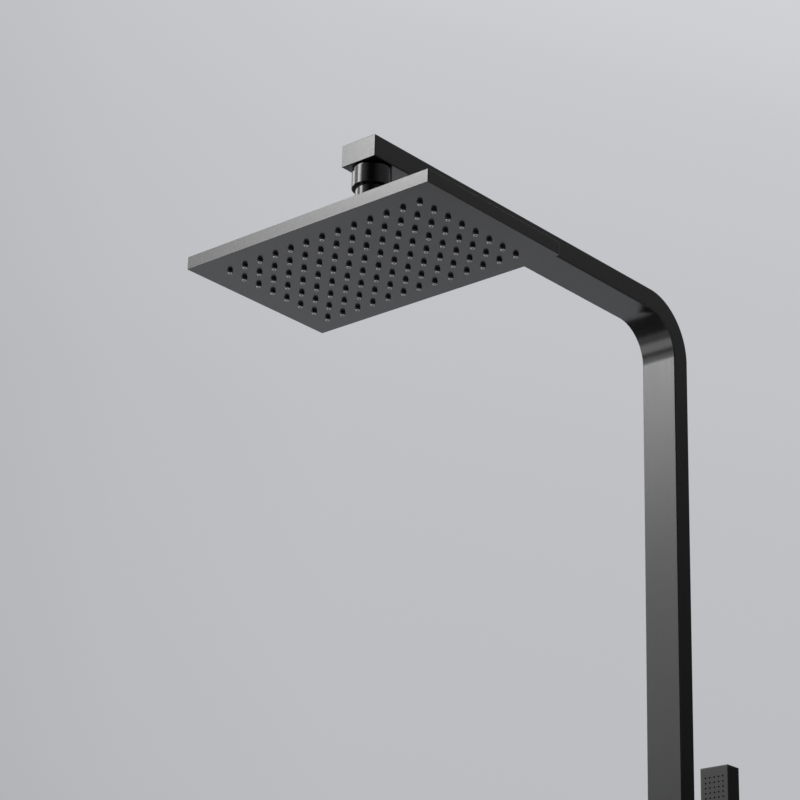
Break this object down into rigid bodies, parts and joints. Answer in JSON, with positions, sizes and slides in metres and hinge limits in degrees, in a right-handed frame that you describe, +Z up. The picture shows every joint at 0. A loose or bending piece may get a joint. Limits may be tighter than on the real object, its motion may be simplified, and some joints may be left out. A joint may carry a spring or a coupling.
{
  "type": "wall-mounted shower set",
  "caption": "Wall-mounted shower: a bent rectangular tube carries a tilting rectangular rain head, with a stick handset in a sliding holder.",
  "frame": {"origin": "centre of the wall inlet, on the wall's face", "axes": "+Z up along the riser, +Y into the wall, +X to the user's right when facing the wall"},
  "size_m": [0.22, 0.469, 1.003],
  "materials": {
    "black_metal": "satin black",
    "rubber": "smooth black silicone",
    "brass": "turned",
    "steel": "brushed",
    "white_plastic": "matte"
  },
  "bodies": {
    "column": {"riser_tube": "black_metal", "arm_end_cap": "black_metal", "arm_outlet_nipple": "brass", "swivel_collar": "black_metal", "filter_washer": "rubber", "swivel_neck": "black_metal", "seat_retainer": "brass", "bracket_sleeve": "black_metal", "bracket_wall_plate": "steel", "bracket_rosette": "black_metal", "bracket_grub_screws": "steel", "diverter_body": "black_metal", "inlet_rosette": "black_metal", "inlet_filter": "steel", "riser_seal": "rubber", "spool_retainer": "brass", "hose_outlet": "black_metal", "outlet_check_valve": "white_plastic"},
    "upper_seat": {"upper_seat": "white_plastic"},
    "lower_seat": {"lower_seat": "white_plastic"},
    "rain_head": {"swivel_ball": "black_metal", "head_face_tray": "black_metal", "nozzle_mat": "rubber", "head_gasket": "rubber", "head_back_cover": "black_metal", "cover_screws": "steel"},
    "diverter": {"diverter_spool": "brass", "spool_orings": "rubber", "diverter_knob": "black_metal", "knob_screw": "steel"},
    "slider": {"slider_body": "black_metal", "slider_bush": "white_plastic", "brake_pad": "white_plastic", "pivot_bolt": "steel", "friction_washer": "white_plastic"},
    "lock": {"slider_lock": "black_metal"},
    "holder": {"handset_holder": "black_metal"},
    "handset": {"handset_body": "black_metal", "handset_nozzle_strip": "rubber", "handset_manifold": "white_plastic", "handset_inlet": "black_metal", "handset_seal": "rubber", "handset_flow_limiter": "white_plastic"}
  },
  "joints": [
    {"name": "head_spin", "type": "hinge", "parent": "column", "child": "upper_seat", "pos_m": [0, -0.4015, 0.90692], "axis": [0, 0, 1], "continuous": true},
    {"name": "head_tilt_forward", "type": "hinge", "parent": "upper_seat", "child": "lower_seat", "pos_m": [0, -0.4015, 0.90692], "axis": [1, 0, 0], "range_deg": [-12, 12]},
    {"name": "head_tilt_sideways", "type": "hinge", "parent": "lower_seat", "child": "rain_head", "pos_m": [0, -0.4015, 0.90692], "axis": [0, 1, 0], "range_deg": [-12, 12]},
    {"name": "diverter_turn", "type": "hinge", "parent": "column", "child": "diverter", "pos_m": [0, -0.0715, 0], "axis": [0, -1, 0], "range_deg": [0, 90]},
    {"name": "slider_travel", "type": "slide", "parent": "column", "child": "slider", "axis": [0, 0, 1], "range_m": [-0.29, 0.06]},
    {"name": "lock_turn", "type": "hinge", "parent": "slider", "child": "lock", "pos_m": [-0.0213, -0.0495, 0.366], "axis": [-1, 0, 0], "range_deg": [0, 360]},
    {"name": "holder_tilt", "type": "hinge", "parent": "slider", "child": "holder", "pos_m": [0.0245, -0.049, 0.366], "axis": [1, 0, 0], "range_deg": [0, 30]},
    {"name": "handset_pull", "type": "slide", "parent": "holder", "child": "handset", "axis": [0, -1, 0], "range_m": [0, 0.04]}
  ]
}
